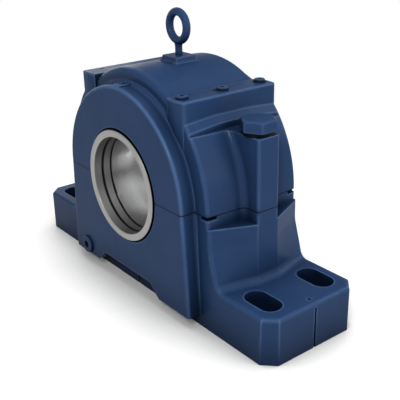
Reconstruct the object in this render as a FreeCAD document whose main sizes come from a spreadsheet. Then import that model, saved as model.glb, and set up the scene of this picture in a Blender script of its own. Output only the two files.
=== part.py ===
"""Split plummer block for a 150 mm shaft: a cast base and cap around a spherical roller bearing.

The shaft runs along Y and the foot along X. The row origin is the middle of the base, on the floor.
Every sub-part is drawn about the middle of the shaft axis, which lies in the split plane.
"""

import FreeCAD, Part

import math
import os

import Sketcher

Vector = FreeCAD.Vector

# Driving sizes in millimetres and degrees: alias, value, what it is.
SIZES = [
    ("shaft_height", 175, "shaft axis above the floor"),
    ("base_length", 610, "length of the foot along X"),
    ("base_width", 170, "width of the foot along Y"),
    ("foot_height", 70, "height of the foot ends"),
    ("foot_corner", 18, "corner bevel of the foot in plan"),
    ("foot_edge", 5, "rounding of the foot rim and of the front and rear edges"),
    ("slot_spacing_x", 510, "bolt centres along X"),
    ("slot_spacing_y", 100, "bolt centres along Y"),
    ("slot_length", 60, "foot slot, end to end"),
    ("slot_width", 34, "foot slot, side to side"),
    ("mark_width", 3, "centre mark grooves"),
    ("mark_depth", 2, "centre mark grooves, depth"),
    ("web_mark_height", 18, "centre mark in the middle of the base, height"),
    ("dimple_radius", 3, "drill marks on the casting"),
    ("dimple_depth", 1.5, "drill marks, depth"),
    ("dimple_inset", 13, "drill mark from the end of the foot"),
    ("housing_depth", 213, "front face to rear face"),
    ("plate_radius", 151.5, "end wall radius"),
    ("plate_floor_half", 161.5, "half width of the end wall at its foot"),
    ("wall_foot", 17.5, "foot of the end walls above the floor"),
    ("plate_edge", 5, "rounding of the end wall rim"),
    ("root_round", 6, "hollow rounding between end wall and body"),
    ("arch_root_round", 8, "hollow rounding between end wall and arch"),
    ("recess_floor_half", 106.5, "half width of the recess under the end wall, at the floor"),
    ("recess_top_half", 65, "half width of the recess under the end wall, at its top"),
    ("recess_height", 37, "height of the recess under the end wall"),
    ("recess_round", 6, "upper corners of the recess"),
    ("web_face", 84, "web behind the recess, from the middle"),
    ("body_radius", 173.5, "outer radius of the arch"),
    ("shoulder_radius", 178.5, "outer radius of the shoulders at their front and rear edges"),
    ("body_depth", 165, "depth of the body at the split"),
    ("arch_depth", 159, "depth of the arch"),
    ("body_edge", 9, "rounding of the arch edges"),
    ("shoulder_edge", 4, "rounding of the shoulder edges"),
    ("waist_radius", 181.5, "radius of the body beside the bolt pillars"),
    ("waist_half", 30, "half length of the widest stretch of the body"),
    ("arch_half_width", 104, "half width of the stretch where only the arch shows"),
    ("pillar_reach", 210, "outer face of the bolt pillars"),
    ("pillar_width", 38, "width of the bolt pillars"),
    ("pillar_root_round", 10, "hollow rounding beside the pillars"),
    ("pillar_edge", 3, "rounding of the pillar corners"),
    ("seat_height", 279.5, "bolt seats above the floor"),
    ("seat_start", 142, "inner wall of the bolt seats"),
    ("overlap", 0.5, "how far neighbouring shapes of the casting run into each other"),
    ("block_inner", 95, "inner side of the flat pads on the cap"),
    ("block_reach", 133, "outer side of the flat pads on the cap"),
    ("block_top", 325, "flat pads above the floor"),
    ("block_depth", 169.6, "depth of the flat pads"),
    ("block_crown", 2.2, "how much the pad faces curve back to their ends"),
    ("block_bend", 80, "radius of the curved pad faces"),
    ("block_root", 238, "where the pads run into the end wall"),
    ("block_corner", 4, "rounding of the upright pad corners"),
    ("block_edge", 1.4, "bevel of the pad rims"),
    ("boss_half", 8.5, "half width of the boss over the end wall"),
    ("boss_top", 329, "boss over the end wall, above the floor"),
    ("boss_edge", 2.5, "rounding of the boss corners"),
    ("boss_bevel", 1.2, "bevel of the boss rim"),
    ("boss_inset", 2.5, "boss face behind the end wall face"),
    ("block_dimple_step", 12, "drill marks on the pads, steps from their edges"),
    ("boss_dimple_from_middle", 90, "drill mark on the boss, from the middle"),
    ("ledge_height", 158, "ledge under the split, above the floor"),
    ("flare_height", 128, "where the sides of the base start to flare"),
    ("side_front_reach", 180.3, "side of the base at its front corner"),
    ("toe_front_reach", 198, "foot of the flare at the front corner"),
    ("toe_pillar_reach", 212, "foot of the flare at the pillar"),
    ("flare_bend", 60, "bend at the top of the flare"),
    ("toe_round", 12, "hollow rounding where the flare meets the foot"),
    ("notch_height", 5, "lever slots under the split"),
    ("notch_inner", 165, "lever slots, inner end"),
    ("notch_depth", 16, "lever slots, along the shaft"),
    ("bearing_diameter", 310, "outer ring"),
    ("bearing_width", 86, "width of both bearing rings"),
    ("seat_clearance", 0.05, "radial fit of the outer ring in the housing"),
    ("locating_width", 10, "each locating ring"),
    ("locating_bore", 272, "locating ring bore"),
    ("side_gap", 0.1, "side gap between the rings"),
    ("chamber_radius", 122, "chamber beside the bearing"),
    ("end_wall", 27.5, "thickness of the end walls round the seals"),
    ("end_gap", 0.3, "side clearance of the locating rings"),
    ("shaft_diameter", 150, "shaft and sleeve bore"),
    ("seal_radius", 86.3, "labyrinth ring, outside"),
    ("seal_front", 109, "labyrinth ring face from the middle"),
    ("seal_length", 29, "labyrinth ring"),
    ("seal_fin_radius", 97, "labyrinth fin, outside"),
    ("seal_fin_length", 9, "labyrinth fin"),
    ("seal_fin_start", 84.5, "labyrinth fin from the middle"),
    ("seal_gap", 0.9, "labyrinth clearance, radial and axial"),
    ("seal_bevel", 1, "bevels of the labyrinth ring"),
    ("mouth_bevel", 2, "bevel of the housing bore"),
    ("seal_bore_clearance", 0.1, "labyrinth ring over the shaft"),
    ("cord_section", 3.6, "seal cord"),
    ("cord_from_middle", 93.2, "seal cord from the middle"),
    ("cord_clearance", 0.15, "seal cord in its groove"),
    ("raceway_radius", 136, "ball of the outer raceway"),
    ("contact_angle", 11.5, "lean of the rollers in degrees"),
    ("roller_diameter", 37, "roller at its middle"),
    ("roller_length", 34, "roller"),
    ("roller_count", 17, "rollers in a row"),
    ("roller_clearance", 0.3, "roller to raceway"),
    ("inner_land", 101, "inner ring shoulder"),
    ("inner_bore", 170, "inner ring bore at its narrow end"),
    ("guide_width", 5, "guide ring"),
    ("guide_radius", 116, "guide ring, outside"),
    ("roller_shoulder", 8, "where the barrel of a roller bends, from its middle"),
    ("roller_shoulder_radius", 18.2, "roller radius at that bend"),
    ("roller_end_radius", 17.4, "roller radius at its ends"),
    ("guide_clearance", 0.4, "guide ring over the inner ring, and beside the rollers"),
    ("cage_half_wall", 5, "half the wall of a cage"),
    ("cage_inner_end", 3.5, "cage from the middle, inner end"),
    ("cage_outer_end", 44.3, "cage from the middle, outer end"),
    ("cage_clearance", 0.6, "cage pocket round a roller"),
    ("oil_groove_width", 10, "oil groove round the outer ring"),
    ("oil_groove_depth", 3, "oil groove round the outer ring, depth"),
    ("ring_bevel", 3, "bevels of the bearing rings"),
    ("sleeve_taper", 12, "length over which the sleeve diameter grows by one"),
    ("thread_radius", 84.5, "sleeve thread, outside"),
    ("washer_gap", 0.2, "locking washer over the sleeve"),
    ("lock_washer_radius", 104, "locking washer, outside"),
    ("lock_tab", 4, "width of the locking washer tab in the slit"),
    ("tab_end", 77, "end of that tab from the middle of the shaft"),
    ("sleeve_front", 76, "threaded end of the sleeve from the middle"),
    ("sleeve_rear", 46, "plain end of the sleeve from the middle"),
    ("sleeve_slit", 5, "slit of the sleeve"),
    ("sleeve_clearance", 0.05, "sleeve in the inner ring"),
    ("lock_washer", 2.5, "locking washer"),
    ("nut_width", 26, "lock nut"),
    ("nut_diameter", 220, "lock nut"),
    ("nut_slot_width", 20, "lock nut slots"),
    ("nut_slot_depth", 9, "lock nut slots"),
    ("bolt_offset", 188, "cap bolts from the middle"),
    ("bolt_diameter", 30, "cap bolts"),
    ("bolt_length", 150, "cap bolts, under the head"),
    ("bolt_head", 46, "cap bolt head across flats"),
    ("bolt_head_height", 16, "cap bolt head"),
    ("bolt_bevel", 1.5, "bevel of the cap bolt head and tip"),
    ("bolt_clearance", 1.5, "cap bolt in the cap, radial"),
    ("thread_clearance", 0.1, "threads and plugs in their holes, radial"),
    ("hole_end_gap", 4, "room below a screw in its blind hole"),
    ("washer_diameter", 44, "cap bolt washers"),
    ("washer_thickness", 5.5, "cap bolt washers"),
    ("pin_diameter", 10, "dowel pins"),
    ("pin_length", 30, "dowel pins"),
    ("pin_offset_x", 166, "dowel pins from the middle, along X"),
    ("pin_offset_y", 58, "dowel pins from the middle, along Y"),
    ("eye_inside", 30, "lifting eye, inside"),
    ("eye_outside", 54, "lifting eye, outside"),
    ("eye_height", 398, "middle of the lifting eye above the floor"),
    ("eye_shank", 11, "lifting eye shank"),
    ("eye_flare", 1.5, "flare of the shank at the ring"),
    ("eye_thread", 16, "lifting eye, length in the cap"),
    ("eye_offset", 10, "lifting eye behind the middle"),
    ("pad_top", 356, "pad under the lifting eye, above the floor"),
    ("pad_half", 17.5, "half width of that pad"),
    ("pad_spread", 5, "how far the pad spreads to its foot"),
    ("pad_root", 343.5, "foot of the pad, inside the arch, above the floor"),
    ("plug_offset_x", 113, "cap plugs from the middle, along X"),
    ("plug_pitch", 70, "cap plug spacing along Y"),
    ("plug_radius", 8, "cap plug head"),
    ("plug_head", 3, "cap plug head, height"),
    ("plug_thread", 10, "cap plug thread"),
    ("plug_length", 10, "cap plug thread, length"),
    ("plug_socket", 5, "cap plug socket across flats"),
    ("plug_socket_depth", 3.5, "cap plug socket"),
    ("plug_seal_radius", 9.3, "sealing ring under a cap plug"),
    ("plug_seal_height", 1.4, "sealing ring under a cap plug"),
    ("duct_diameter", 6, "grease ducts under the cap plugs"),
    ("drain_offset", 120, "drain plug from the middle, along X"),
    ("drain_height", 33, "drain plug above the floor"),
    ("drain_radius", 15, "drain plug head"),
    ("drain_head", 4, "drain plug head, thickness"),
    ("drain_thread", 20, "drain plug thread"),
    ("drain_length", 16, "drain plug thread, length"),
    ("drain_socket", 12, "drain plug socket across flats"),
    ("drain_socket_depth", 6, "drain plug socket"),
    ("plug_bevel", 1, "bevels of plugs, pins and washers"),
]


class Size:
    """A length that knows both its value and the sheet expression it comes from."""

    def __init__(self, value, text):
        self.value = float(value)
        self.text = text

    def joined(self, other, sign, value):
        return Size(value, f"({self.text} {sign} {size(other).text})")

    def __add__(self, other):
        return self.joined(other, "+", self.value + size(other).value)

    def __radd__(self, other):
        return size(other) + self

    def __sub__(self, other):
        return self.joined(other, "-", self.value - size(other).value)

    def __rsub__(self, other):
        return size(other) - self

    def __mul__(self, other):
        return self.joined(other, "*", self.value * size(other).value)

    def __rmul__(self, other):
        return size(other) * self

    def __truediv__(self, other):
        return self.joined(other, "/", self.value / size(other).value)

    def __neg__(self):
        return Size(-self.value, f"(-1 * {self.text})")


def size(number):
    """Return a Size for a plain number, and a Size as it is."""
    if isinstance(number, Size):
        return number
    return Size(number, f"({float(number)!r})")


def square_root(length):
    """Return the square root of a Size."""
    return Size(math.sqrt(length.value), f"sqrt({length.text})")


def sine(angle):
    """Return the sine of an angle in degrees."""
    return Size(math.sin(math.radians(angle.value)), f"sin({angle.text})")


def cosine(angle):
    """Return the cosine of an angle in degrees."""
    return Size(math.cos(math.radians(angle.value)), f"cos({angle.text})")


document = FreeCAD.newDocument("SplitPlummerBlock")


def write_sheet():
    """Write the driving sizes to the sheet and return them by name."""
    sheet = document.addObject("Spreadsheet::Sheet", "Sizes")
    named = {}
    for row, (alias, value, meaning) in enumerate(SIZES, start=1):
        sheet.set(f"A{row}", alias)
        sheet.set(f"B{row}", str(value))
        sheet.set(f"C{row}", meaning)
        sheet.setAlias(f"B{row}", alias)
        named[alias] = Size(value, f"Sizes.{alias}")
    document.recompute()
    return named


S = write_sheet()

# Places that several sub-parts share, all from the split plane or the middle of the shaft.
FLOOR = -S["shaft_height"]
FOOT_TOP = FLOOR + S["foot_height"]
LEDGE = FLOOR + S["ledge_height"]
BOLT_SEAT = S["seat_height"] + FLOOR
BLOCK_TOP = S["block_top"] + FLOOR
PAD_TOP = S["pad_top"] + FLOOR
FACE = S["housing_depth"] / 2
BODY_FACE = S["body_depth"] / 2
ARCH_FACE = S["arch_depth"] / 2
BASE_FACE = S["base_width"] / 2
SEAT_RADIUS = S["bearing_diameter"] / 2 + S["seat_clearance"]
SEAT_HALF = S["bearing_width"] / 2 + S["locating_width"] + S["end_gap"]
SHAFT_RADIUS = S["shaft_diameter"] / 2
WALL_START = FACE - S["end_wall"]
SEAL_BORE = S["seal_radius"] + S["seal_gap"]
FIN_END = S["seal_fin_start"] + S["seal_fin_length"]
RING_HALF = S["bearing_width"] / 2
BOLT_BOTTOM = BOLT_SEAT + S["washer_thickness"] - S["bolt_length"]


def new_body(label):
    """Return an empty body whose origin is the middle of the shaft."""
    body = document.addObject("PartDesign::Body", label)
    body.Label = label
    body.setExpression("Placement.Base.z", S["shaft_height"].text)
    return body


def place(body, x=None, y=None, z=None):
    """Tie the place of a body to the sheet."""
    for axis, length in (("x", x), ("y", y), ("z", z)):
        if length is not None:
            body.setExpression(f"Placement.Base.{axis}", size(length).text)


def new_sketch(body, name, role, shift=None):
    """Return a sketch on one of the body's origin planes, shifted along the plane's normal."""
    plane = [item for item in body.Origin.OriginFeatures if item.Role == role][0]
    sketch = body.newObject("Sketcher::SketchObject", name)
    sketch.AttachmentSupport = [(plane, "")]
    sketch.MapMode = "FlatFace"
    if shift is not None:
        sketch.setExpression("AttachmentOffset.Base.z", size(shift).text)
    return sketch


def tie(sketch, kind, *place_and_size):
    """Add one driving dimension to a sketch and bind it to the sheet."""
    *where, length = place_and_size
    index = sketch.addConstraint(Sketcher.Constraint(kind, *where, length.value))
    sketch.setExpression(f"Constraints[{index}]", length.text)


def add_outline(sketch, points, rounds=None):
    """Draw a closed outline through the points, with some corners rounded."""
    corners = [(size(u), size(v)) for u, v in points]
    count = len(corners)
    lines = []
    for index, (u, v) in enumerate(corners):
        next_u, next_v = corners[(index + 1) % count]
        start = Vector(u.value, v.value, 0)
        end = Vector(next_u.value, next_v.value, 0)
        lines.append(sketch.addGeometry(Part.LineSegment(start, end), False))
    for index in range(count):
        after = lines[(index + 1) % count]
        sketch.addConstraint(Sketcher.Constraint("Coincident", lines[index], 2, after, 1))
    for line, (u, v) in zip(lines, corners):
        tie(sketch, "DistanceX", -1, 1, line, 1, u)
        tie(sketch, "DistanceY", -1, 1, line, 1, v)
    for corner, radius in (rounds or {}).items():
        drawn = sketch.GeometryCount
        sketch.fillet(lines[corner - 1], 2, radius.value, True, True)
        arcs = [
            index
            for index in range(drawn, sketch.GeometryCount)
            if sketch.Geometry[index].TypeId == "Part::GeomArcOfCircle"
        ]
        tie(sketch, "Radius", arcs[0], radius)


def add_circle(sketch, u, v, radius):
    """Draw a circle tied to the sheet."""
    u = size(u)
    v = size(v)
    circle = Part.Circle(Vector(u.value, v.value, 0), Vector(0, 0, 1), radius.value)
    index = sketch.addGeometry(circle, False)
    tie(sketch, "DistanceX", -1, 1, index, 3, u)
    tie(sketch, "DistanceY", -1, 1, index, 3, v)
    tie(sketch, "Radius", index, radius)


def add_slot(sketch, u, v, length, width):
    """Draw a round-ended slot along the sketch's first axis."""
    half = (length - width) / 2
    radius = width / 2
    ends = []
    for side, start, end in ((-1, math.pi / 2, 3 * math.pi / 2), (1, -math.pi / 2, math.pi / 2)):
        middle = Vector((u + side * half).value, v.value, 0)
        circle = Part.Circle(middle, Vector(0, 0, 1), radius.value)
        ends.append(sketch.addGeometry(Part.ArcOfCircle(circle, start, end), False))
    low = v.value - radius.value
    high = v.value + radius.value
    left = (u - half).value
    right = (u + half).value
    floor = sketch.addGeometry(Part.LineSegment(Vector(left, low, 0), Vector(right, low, 0)), False)
    roof = sketch.addGeometry(Part.LineSegment(Vector(right, high, 0), Vector(left, high, 0)), False)
    for first, first_end, second, second_end in (
        (ends[0], 2, floor, 1),
        (floor, 2, ends[1], 1),
        (ends[1], 2, roof, 1),
        (roof, 2, ends[0], 1),
    ):
        joint = Sketcher.Constraint("Tangent", first, first_end, second, second_end)
        sketch.addConstraint(joint)
    sketch.addConstraint(Sketcher.Constraint("Equal", ends[0], ends[1]))
    for side, end in ((-1, ends[0]), (1, ends[1])):
        tie(sketch, "DistanceX", -1, 1, end, 3, u + side * half)
        tie(sketch, "DistanceY", -1, 1, end, 3, v)
    tie(sketch, "Radius", ends[0], radius)


def finish(feature, grows=None, before=0.0):
    """Recompute, and make sure that the feature did what it is for."""
    document.recompute()
    if "Invalid" in feature.State or "Error" in feature.State or feature.Shape.isNull():
        raise RuntimeError(f"{feature.Name} failed")
    if grows is not None and (feature.Shape.Volume > before) != grows:
        raise RuntimeError(f"{feature.Name} changed the volume the wrong way")
    return feature


def volume_of(body):
    """Return the volume of a body so far."""
    return body.Shape.Volume if body.Tip and not body.Shape.isNull() else 0.0


def extrude(body, kind, name, sketch, length, both=False, back=False):
    """Pad or pocket a sketch, along its normal, back from it or both ways."""
    before = volume_of(body)
    feature = body.newObject(f"PartDesign::{kind}", name)
    feature.Profile = sketch
    feature.SideType = "Symmetric" if both else "One side"
    feature.Reversed = back
    feature.setExpression("Length", length.text)
    return finish(feature, kind == "Pad", before)


def pad(body, name, sketch, length, both=False, back=False):
    """Add an extruded sketch."""
    return extrude(body, "Pad", name, sketch, length, both, back)


def pocket(body, name, sketch, length, both=False, up=False):
    """Cut an extruded sketch, down from its plane, up from it or both ways."""
    return extrude(body, "Pocket", name, sketch, length, both, up)


def revolve(body, kind, name, role, axis, points, rounds):
    """Add or cut a solid turned about an axis of the sketch."""
    before = volume_of(body)
    sketch = new_sketch(body, f"{name}_section", role)
    add_outline(sketch, points, rounds)
    feature = body.newObject(f"PartDesign::{kind}", name)
    feature.Profile = sketch
    feature.ReferenceAxis = (sketch, [axis])
    return finish(feature, kind == "Revolution", before)


def turn(body, name, points, rounds=None):
    """Add a solid turned about the shaft; a point is a place along it and a radius."""
    return revolve(body, "Revolution", name, "YZ_Plane", "H_Axis", points, rounds)


def turn_out(body, name, points, rounds=None):
    """Cut a groove turned about the shaft; a point is a place along it and a radius."""
    return revolve(body, "Groove", name, "YZ_Plane", "H_Axis", points, rounds)


def spin(body, name, points, rounds=None):
    """Add a solid turned about the upright axis; a point is a radius and a height."""
    return revolve(body, "Revolution", name, "XZ_Plane", "V_Axis", points, rounds)


def spin_out(body, name, points, rounds=None):
    """Cut a groove turned about the upright axis; a point is a radius and a height."""
    return revolve(body, "Groove", name, "XZ_Plane", "V_Axis", points, rounds)


def loft(body, name, sketches):
    """Add a solid that runs straight from sketch to sketch."""
    before = volume_of(body)
    feature = body.newObject("PartDesign::AdditiveLoft", name)
    feature.Profile = sketches[0]
    feature.Sections = sketches[1:]
    feature.Ruled = True
    return finish(feature, True, before)


def drill(body, name, spots, radius, top, depth, up=False):
    """Drill upright holes of one size from one level."""
    sketch = new_sketch(body, f"{name}_plan", "XY_Plane", top)
    for x, y in spots:
        add_circle(sketch, x, y, radius)
    return pocket(body, name, sketch, depth, up=up)


def edges_where(feature, chosen):
    """Return the names of the edges of a feature that pass a test."""
    names = []
    for index, edge in enumerate(feature.Shape.Edges, start=1):
        if chosen(edge):
            names.append(f"Edge{index}")
    if not names:
        raise RuntimeError(f"no edge of {feature.Name} fits")
    return names


def dress(body, kind, name, amount, chosen):
    """Round or bevel the chosen edges of a body so far."""
    base = body.Tip
    names = edges_where(base, chosen)
    feature = body.newObject(f"PartDesign::{kind}", name)
    feature.Base = (base, names)
    feature.setExpression("Radius" if kind == "Fillet" else "Size", amount.text)
    return finish(feature)


def is_level_at(edge, height):
    """Say whether an edge lies in one level plane."""
    box = edge.BoundBox
    return abs(box.ZMin - height) < 0.01 and abs(box.ZMax - height) < 0.01


def rectangle(half_u, low, high):
    """Return the corners of a rectangle that is even about the second axis."""
    return [(-half_u, low), (half_u, low), (half_u, high), (-half_u, high)]


def side_rectangle(side, inner, outer, half):
    """Return the corners of a rectangle on one side of the middle."""
    return [(side * inner, -half), (side * outer, -half), (side * outer, half), (side * inner, half)]


def hexagon(across_flats):
    """Return the corners of a hexagon with two flats across the first axis."""
    half = across_flats / 2
    corner = across_flats / square_root(size(3))
    return [
        (half, -corner / 2),
        (half, corner / 2),
        (0, corner),
        (-half, corner / 2),
        (-half, -corner / 2),
        (0, -corner),
    ]


def mirrored(points):
    """Return turned points and their mirror images, as one closed outline."""
    return points + [(-along, radius) for along, radius in reversed(points)]


def cut_chamber(body):
    """Cut the bearing seat, the chambers beside it, the seal grooves and the mouths."""
    bevel = S["mouth_bevel"]
    fin_groove = S["seal_fin_radius"] + S["seal_gap"] + S["seal_gap"] / 2
    half = [
        (FACE + bevel, 0),
        (FACE + bevel, SEAL_BORE + bevel + bevel),
        (FACE - bevel, SEAL_BORE),
        (FIN_END + S["seal_gap"], SEAL_BORE),
        (FIN_END + S["seal_gap"], fin_groove),
        (S["seal_fin_start"] - S["seal_gap"], fin_groove),
        (S["seal_fin_start"] - S["seal_gap"], SEAL_BORE),
        (WALL_START, SEAL_BORE),
        (WALL_START, S["chamber_radius"]),
        (SEAT_HALF, S["chamber_radius"]),
        (SEAT_HALF, SEAT_RADIUS),
    ]
    turn_out(body, "chamber", mirrored(half))


def bolt_spots():
    """Return the places of the cap bolts."""
    return [(side * S["bolt_offset"], 0) for side in (-1, 1)]


def pin_spots():
    """Return the places of the dowel pins."""
    return [(side * S["pin_offset_x"], side * S["pin_offset_y"]) for side in (-1, 1)]


def silhouette(toe, side):
    """Return the outline of foot and trunk seen along the shaft."""
    end = S["base_length"] / 2
    right = [
        (end, FLOOR),
        (end, FOOT_TOP),
        (toe, FOOT_TOP),
        (side, FLOOR + S["flare_height"]),
        (side, LEDGE),
    ]
    left = [(-x, z) for x, z in reversed(right)]
    bend = S["flare_bend"]
    root = S["toe_round"]
    return right + left, {2: root, 3: bend, 6: bend, 7: root}


def build_trunk(body):
    """Loft foot and trunk along the shaft, from face to pillar to face."""
    half = S["pillar_width"] / 2
    stations = [
        ("front", BASE_FACE, S["toe_front_reach"], S["side_front_reach"]),
        ("pillar_front", half, S["toe_pillar_reach"], S["pillar_reach"]),
        ("pillar_rear", -half, S["toe_pillar_reach"], S["pillar_reach"]),
        ("rear", -BASE_FACE, S["toe_front_reach"], S["side_front_reach"]),
    ]
    sketches = []
    for name, shift, toe, side in stations:
        sketch = new_sketch(body, f"silhouette_{name}", "XZ_Plane", shift)
        points, rounds = silhouette(toe, side)
        add_outline(sketch, points, rounds)
        sketches.append(sketch)
    loft(body, "trunk", sketches)


def taper_faces(body):
    """Lean the front and rear faces of foot and trunk back by their casting draft."""
    over = S["foot_edge"]
    sketch = new_sketch(body, "draft_section", "YZ_Plane")
    for side in (-1, 1):
        add_outline(
            sketch,
            [
                (side * BASE_FACE, FLOOR),
                (side * BODY_FACE, LEDGE),
                (side * BODY_FACE, LEDGE + over),
                (side * (BASE_FACE + over), LEDGE + over),
                (side * (BASE_FACE + over), FLOOR),
            ],
        )
    pocket(body, "draft", sketch, S["base_length"], both=True)


def shape_foot(body):
    """Bevel the corners of the foot and round its rim and the trunk edges."""
    end = S["base_length"] / 2
    corner = S["foot_corner"]
    sketch = new_sketch(body, "foot_corner_plan", "XY_Plane", FLOOR)
    for x in (-1, 1):
        for y in (-1, 1):
            add_outline(
                sketch,
                [
                    (x * (end - corner), y * BASE_FACE),
                    (x * end, y * (BASE_FACE - corner)),
                    (x * (end + corner), y * (BASE_FACE - corner)),
                    (x * (end + corner), y * (BASE_FACE + corner)),
                    (x * (end - corner), y * (BASE_FACE + corner)),
                ],
            )
    pocket(body, "foot_corners", sketch, S["foot_height"], up=True)

    def on_rim(edge):
        box = edge.BoundBox
        if box.ZMin < FOOT_TOP.value - 0.01 or is_level_at(edge, LEDGE.value):
            return False
        at_end = min(abs(box.XMin), abs(box.XMax)) > (end - corner).value - 0.01
        on_face = min(abs(box.YMin), abs(box.YMax)) > BODY_FACE.value - 0.01
        return at_end or on_face

    dress(body, "Fillet", "rim", S["foot_edge"], on_rim)


def waist_outline(side):
    """Return the plan of the body, its waist and a bolt pillar on one side of the middle."""
    inner = side * S["seat_start"]
    wall = side * S["shoulder_radius"]
    waist = side * S["waist_radius"]
    reach = side * S["pillar_reach"]
    half = S["pillar_width"] / 2
    points = [
        (inner, -BODY_FACE),
        (wall, -BODY_FACE),
        (waist, -S["waist_half"]),
        (waist, -half),
        (reach, -half),
        (reach, half),
        (waist, half),
        (waist, S["waist_half"]),
        (wall, BODY_FACE),
        (inner, BODY_FACE),
    ]
    corner = S["pillar_edge"]
    hollow = S["pillar_root_round"]
    edge = S["shoulder_edge"]
    return points, {1: edge, 3: hollow, 4: corner, 5: corner, 6: hollow, 8: edge}


def build_waist(body):
    """Pad the stretch between the ledge and the split, with the bolt pillars."""
    for side in (-1, 1):
        name = "left" if side < 0 else "right"
        sketch = new_sketch(body, f"waist_plan_{name}", "XY_Plane", LEDGE)
        points, rounds = waist_outline(side)
        add_outline(sketch, points, rounds)
        pad(body, f"waist_{name}", sketch, -LEDGE)


def wall_plan(body, name, level, half_width):
    """Sketch the plan of both end walls at one level, with their rounded edges."""
    root = BODY_FACE - S["overlap"]
    wide = half_width + S["root_round"] + S["root_round"] / 2
    quarter = [(wide, -root), (half_width, -root), (half_width, -FACE)]
    front = [(-x, y) for x, y in quarter] + list(reversed(quarter))
    rear = [(-x, -y) for x, y in front]
    sketch = new_sketch(body, name, "XY_Plane", level)
    hollow = S["root_round"]
    edge = S["plate_edge"]
    rounds = {1: hollow, 2: edge, 3: edge, 4: hollow, 7: hollow, 8: edge, 9: edge, 10: hollow}
    add_outline(sketch, front + rear, rounds)
    return sketch


def build_end_walls(body):
    """Loft both end walls from their foot, a little above the floor, to the split."""
    foot = FLOOR + S["wall_foot"]
    low = wall_plan(body, "wall_plan_low", foot, S["plate_floor_half"])
    high = wall_plan(body, "wall_plan_high", size(0), S["plate_radius"])
    loft(body, "end_walls", [low, high])


def cut_recesses(body):
    """Cut the recess under each end wall and the centre marks in the web behind it."""
    depth = FACE - S["web_face"]
    over = S["mark_depth"]
    outline = [
        (-S["recess_floor_half"], FLOOR),
        (S["recess_floor_half"], FLOOR),
        (S["recess_top_half"], FLOOR + S["recess_height"]),
        (-S["recess_top_half"], FLOOR + S["recess_height"]),
    ]
    mark = rectangle(S["mark_width"] / 2, FLOOR, FLOOR + S["web_mark_height"])
    for name, shift, mark_shift in (
        ("front", FACE + over, S["web_face"]),
        ("rear", -S["web_face"], over - S["web_face"]),
    ):
        sketch = new_sketch(body, f"recess_outline_{name}", "XZ_Plane", shift)
        add_outline(sketch, outline, {2: S["recess_round"], 3: S["recess_round"]})
        pocket(body, f"recess_{name}", sketch, depth + over)
        sketch = new_sketch(body, f"web_mark_outline_{name}", "XZ_Plane", mark_shift)
        add_outline(sketch, mark)
        pocket(body, f"web_mark_{name}", sketch, over)


def cut_end_marks(body):
    """Cut the upright centre marks in the ends of the foot."""
    end = S["base_length"] / 2
    top = FOOT_TOP - S["foot_edge"] - S["mark_depth"]
    mark = rectangle(S["mark_width"] / 2, FLOOR, top)
    for name, shift in (("right", end), ("left", S["mark_depth"] - end)):
        sketch = new_sketch(body, f"end_mark_outline_{name}", "YZ_Plane", shift)
        add_outline(sketch, mark)
        pocket(body, f"end_mark_{name}", sketch, S["mark_depth"])


def cut_lever_slots(body):
    """Cut a shallow slot under the split at each corner, to lift the cap."""
    sketch = new_sketch(body, "lever_plan", "XY_Plane")
    for x in (-1, 1):
        for y in (-1, 1):
            add_outline(
                sketch,
                [
                    (x * S["notch_inner"], y * (BODY_FACE - S["notch_depth"])),
                    (x * S["pillar_reach"], y * (BODY_FACE - S["notch_depth"])),
                    (x * S["pillar_reach"], y * (BODY_FACE + S["notch_depth"])),
                    (x * S["notch_inner"], y * (BODY_FACE + S["notch_depth"])),
                ],
            )
    pocket(body, "lever_slots", sketch, S["notch_height"])


def build_base():
    """Build the lower half of the casting."""
    body = new_body("housing_base")
    build_trunk(body)
    taper_faces(body)
    shape_foot(body)
    build_waist(body)
    build_end_walls(body)
    cut_chamber(body)
    cut_recesses(body)
    cut_end_marks(body)
    cut_lever_slots(body)
    sketch = new_sketch(body, "slot_plan", "XY_Plane", FLOOR)
    for x in (-1, 1):
        for y in (-1, 1):
            middle = (x * S["slot_spacing_x"] / 2, y * S["slot_spacing_y"] / 2)
            add_slot(sketch, *middle, S["slot_length"], S["slot_width"])
    pocket(body, "foot_slots", sketch, S["foot_height"], up=True)
    thread = S["bolt_diameter"] / 2 + S["thread_clearance"]
    drill(body, "bolt_threads", bolt_spots(), thread, size(0), S["hole_end_gap"] - BOLT_BOTTOM)
    pin = S["pin_diameter"] / 2 + S["thread_clearance"]
    drill(body, "pin_holes", pin_spots(), pin, size(0), S["pin_length"] / 2 + S["plug_bevel"])
    marks = [(side * (S["base_length"] / 2 - S["dimple_inset"]), 0) for side in (-1, 1)]
    drill(body, "foot_dimples", marks, S["dimple_radius"], FOOT_TOP, S["dimple_depth"])
    sketch = new_sketch(body, "drain_plan", "XZ_Plane", FACE)
    thread = S["drain_thread"] / 2 + S["thread_clearance"]
    add_circle(sketch, -S["drain_offset"], FLOOR + S["drain_height"], thread)
    pocket(body, "drain_thread_hole", sketch, S["drain_length"] + S["hole_end_gap"])
    return body


def build_drum(body):
    """Turn the crowned shoulders of the cap, and leave only their outer stretches."""
    half = [
        (BODY_FACE, 0),
        (BODY_FACE, S["shoulder_radius"]),
        (S["waist_half"], S["waist_radius"]),
    ]
    edge = S["shoulder_edge"]
    bend = S["flare_bend"]
    turn(body, "drum", mirrored(half), {1: edge, 2: bend, 3: bend, 4: edge})
    sketch = new_sketch(body, "arch_stretch", "XY_Plane")
    add_outline(sketch, rectangle(S["arch_half_width"], -FACE, FACE))
    pocket(body, "arch_gap", sketch, 4 * S["body_radius"], both=True)
    sketch = new_sketch(body, "drum_top_plan", "XY_Plane", BLOCK_TOP - S["block_edge"])
    add_outline(sketch, rectangle(S["pillar_reach"], -FACE, FACE))
    pocket(body, "drum_top", sketch, S["body_radius"], up=True)


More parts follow.
